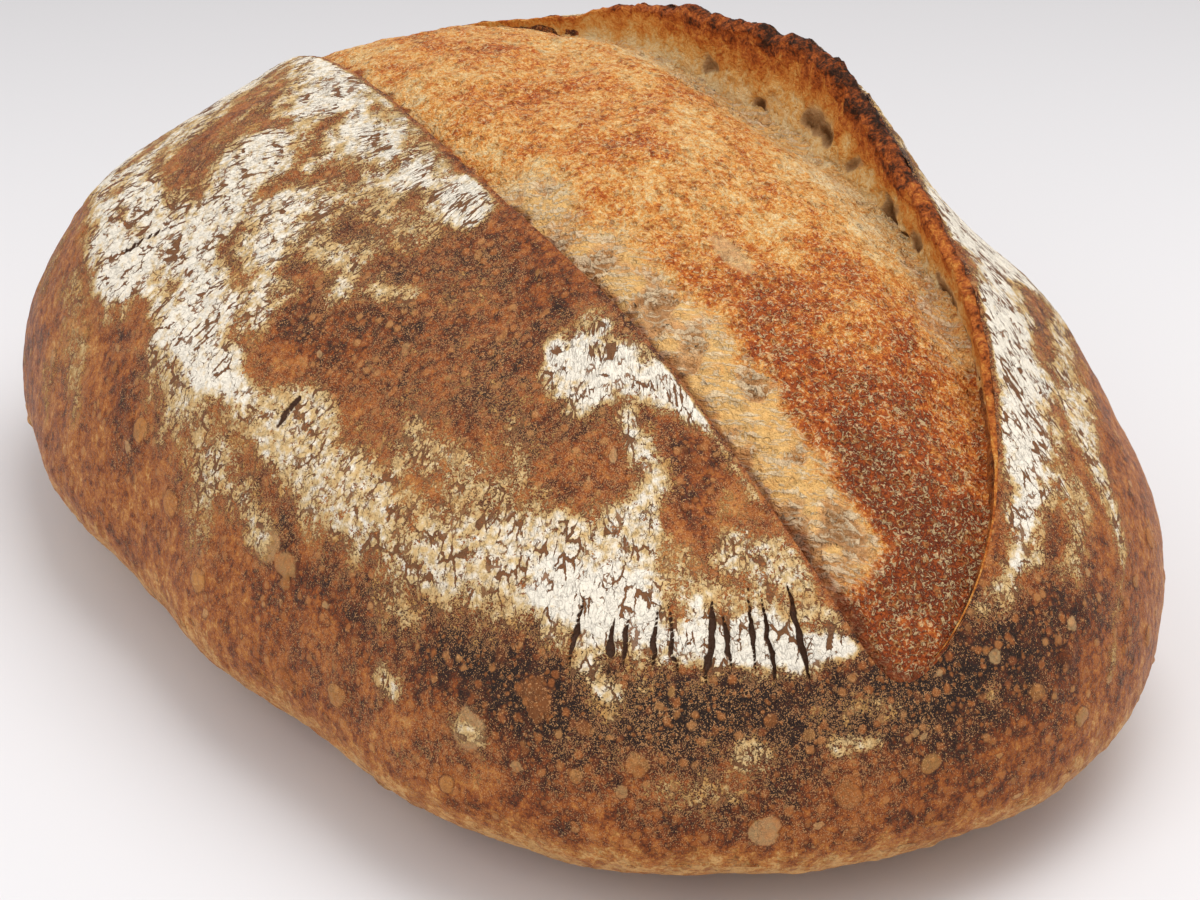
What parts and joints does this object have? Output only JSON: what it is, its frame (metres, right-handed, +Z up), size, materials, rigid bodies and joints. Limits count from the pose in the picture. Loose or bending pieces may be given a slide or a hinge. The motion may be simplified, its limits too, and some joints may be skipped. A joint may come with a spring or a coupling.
{
  "type": "sourdough loaf",
  "caption": "Oval hearth-baked loaf with a flat base, a long lengthwise score that opened over a swollen crumb, a thin lip on one side and a raised crust ear on the other",
  "frame": {"origin": "middle of the loaf's box in plan, on the flat base that it rests on", "axes": "X runs along the loaf and its score, with the score's fuller tip at +X; the raised ear is on the +Y side; Z is up"},
  "size_m": [0.2702, 0.1848, 0.1037],
  "materials": {
    "baked_crust": "matt browned bread crust with a dusting of flour"
  },
  "bodies": {
    "root": {"loaf": "baked_crust"}
  },
  "joints": []
}
